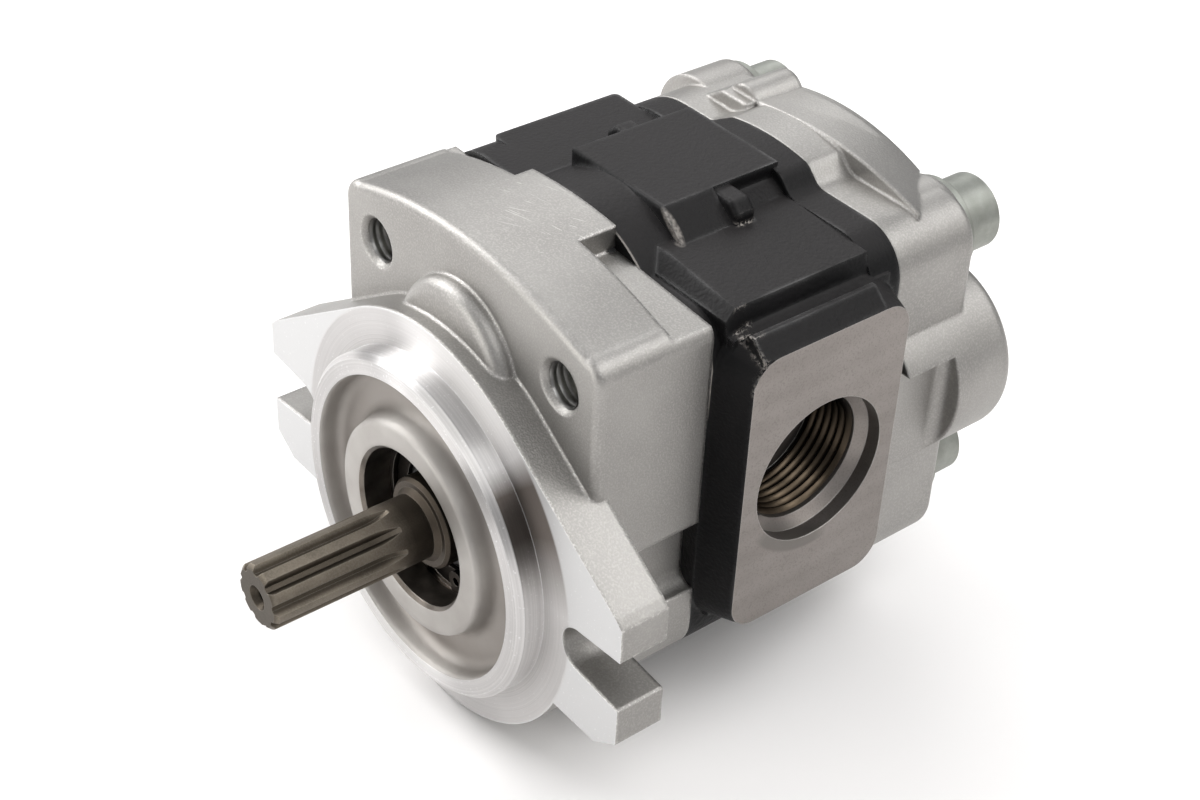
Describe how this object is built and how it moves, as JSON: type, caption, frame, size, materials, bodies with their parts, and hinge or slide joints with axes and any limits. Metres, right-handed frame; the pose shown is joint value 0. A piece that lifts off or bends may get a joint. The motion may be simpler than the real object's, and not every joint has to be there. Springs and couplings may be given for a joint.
{
  "type": "hydraulic gear pump",
  "caption": "External gear pump with a two-bolt flange, a round pilot, a splined shaft, threaded side ports and long tie bolts.",
  "frame": {"origin": "on the shaft axis, in the flange's mounting face", "axes": "+Y along the shaft to the rear cover, the splined end at -Y, +X out of the inlet port, +Z from the drive shaft to the idler gear"},
  "size_m": [0.1328, 0.1735, 0.121],
  "materials": {
    "die_cast_aluminium": "blasted die casting",
    "black_painted_iron": "semi-gloss black paint on cast iron",
    "phosphated_steel": "dark phosphated",
    "gear_steel": "ground",
    "bearing_bronze": "sintered bronze on a steel back",
    "plate_alloy": "machined",
    "seal_rubber": "moulded",
    "backup_plastic": "turned",
    "seal_case_steel": "pressed",
    "spring_steel": "oiled",
    "zinc_plated_steel": "zinc plated"
  },
  "bodies": {
    "housing": {"front_cover": "die_cast_aluminium", "pump_body": "black_painted_iron", "rear_cover": "die_cast_aluminium", "front_drive_bush": "bearing_bronze", "front_idler_bush": "bearing_bronze", "rear_drive_bush": "bearing_bronze", "rear_idler_bush": "bearing_bronze", "front_side_plate": "plate_alloy", "rear_side_plate": "plate_alloy", "front_load_seal": "seal_rubber", "rear_load_seal": "seal_rubber", "front_backup_strip": "backup_plastic", "rear_backup_strip": "backup_plastic", "front_body_seal": "seal_rubber", "rear_body_seal": "seal_rubber", "shaft_seal_case": "seal_case_steel", "shaft_seal_lip": "seal_rubber", "seal_garter_spring": "spring_steel", "seal_circlip": "spring_steel", "front_dowel_pins": "spring_steel", "rear_dowel_pins": "spring_steel", "tie_bolts": "zinc_plated_steel", "bolt_washers": "zinc_plated_steel"},
    "drive_train": {"drive_gear_shaft": "phosphated_steel"},
    "idler_train": {"idler_gear": "gear_steel"}
  },
  "joints": [
    {"name": "drive_spin", "type": "hinge", "parent": "housing", "child": "drive_train", "pos_m": [0, 0, 0], "axis": [0, 1, 0], "continuous": true},
    {"name": "idler_spin", "type": "hinge", "parent": "housing", "child": "idler_train", "pos_m": [0, 0, 0.04], "axis": [0, 1, 0], "continuous": true}
  ],
  "couplings": [
    {"joint": "idler_spin", "follows": "drive_spin", "ratio": -1}
  ]
}
